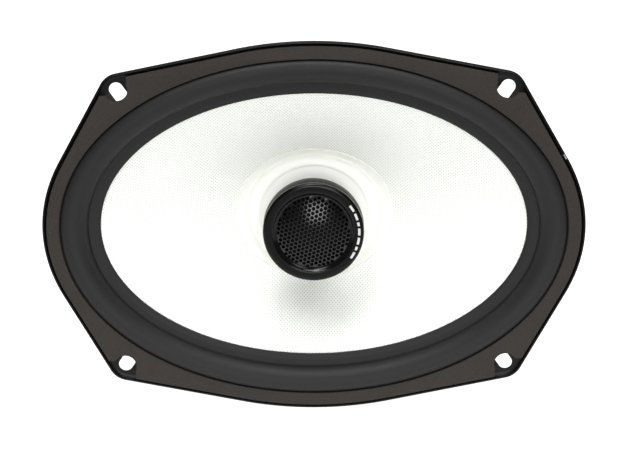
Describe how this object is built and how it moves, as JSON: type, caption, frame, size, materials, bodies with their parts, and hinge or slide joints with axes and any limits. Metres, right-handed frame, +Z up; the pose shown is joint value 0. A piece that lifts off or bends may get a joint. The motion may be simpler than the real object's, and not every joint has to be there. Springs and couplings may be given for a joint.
{
  "type": "coaxial car speaker",
  "caption": "Oval coaxial car speaker: black stamped chassis, rubber roll, white woven cone and collar, and a small dome tweeter on a central post.",
  "frame": {"origin": "centre of the four screw slots, on the speaker's axis, in the plane of the flange's rear face", "axes": "-Y along the speaker's axis towards the listener, +X along the long side of the oval, +Z up"},
  "size_m": [0.235, 0.0917, 0.165],
  "materials": {
    "chassis_paint": "black stoving enamel, semi-gloss",
    "gasket_foam": "matte cork-rubber foam",
    "roll_rubber": "matte butyl rubber",
    "woven_cone": "white woven glass fibre, clear coated",
    "collar_plastic": "white, satin",
    "former_film": "amber polyimide film",
    "copper_wire": "enamelled copper wire",
    "spider_cloth": "resin-treated cotton, corrugated",
    "zinc_steel": "zinc-plated steel",
    "ferrite": "ground ferrite ceramic",
    "boot_rubber": "moulded rubber, satin",
    "rivet_steel": "staked steel",
    "black_plastic": "fine-textured moulding",
    "bezel_plastic": "satin black moulding",
    "grille_steel": "perforated steel, black",
    "bright_magnet": "nickel-plated neodymium",
    "felt": "grey felt",
    "dome_cloth": "coated silk",
    "tinned_brass": "tin-plated brass",
    "capacitor_sleeve": "dark blue sleeve",
    "red_jacket": "PVC jacket",
    "black_jacket": "PVC jacket",
    "copper_braid": "braided tinsel wire"
  },
  "bodies": {
    "chassis": {"basket": "chassis_paint", "front_gasket": "gasket_foam", "surround": "roll_rubber", "spider": "spider_cloth", "top_plate": "zinc_steel", "magnet": "ferrite", "back_yoke": "zinc_steel", "magnet_boot": "boot_rubber", "chassis_rivets": "rivet_steel", "tweeter_post": "black_plastic", "post_washer": "zinc_steel", "post_nut": "zinc_steel", "tweeter_housing": "black_plastic", "tweeter_bezel": "bezel_plastic", "tweeter_grille": "grille_steel", "tweeter_cup": "zinc_steel", "tweeter_magnet": "bright_magnet", "tweeter_pole_disc": "zinc_steel", "tweeter_felt": "felt", "tweeter_clamp_ring": "black_plastic", "tweeter_suspension": "dome_cloth", "terminal_block": "black_plastic", "wide_terminal": "tinned_brass", "narrow_terminal": "tinned_brass", "terminal_rivets": "rivet_steel", "capacitor": "capacitor_sleeve", "capacitor_legs": "tinned_brass", "capacitor_strap": "black_plastic", "tweeter_lead_live": "red_jacket", "tweeter_lead_return": "black_jacket", "braid_live": "copper_braid", "braid_return": "copper_braid"},
    "cone_group": {"cone": "woven_cone", "cone_collar": "collar_plastic", "coil_former": "former_film", "coil_winding": "copper_wire", "braid_anchors": "black_plastic"},
    "dome_group": {"tweeter_dome": "dome_cloth", "tweeter_coil": "copper_wire"}
  },
  "joints": [
    {"name": "cone_travel", "type": "slide", "parent": "chassis", "child": "cone_group", "axis": [0, -1, 0], "range_m": [-0.006, 0.006], "stiffness_N_per_m": 2500, "deforming": ["surround", "spider", "braid_live", "braid_return"]},
    {"name": "tweeter_dome_travel", "type": "slide", "parent": "chassis", "child": "dome_group", "axis": [0, -1, 0], "range_m": [-0.0003, 0.0003], "stiffness_N_per_m": 60, "deforming": ["tweeter_suspension"]}
  ]
}
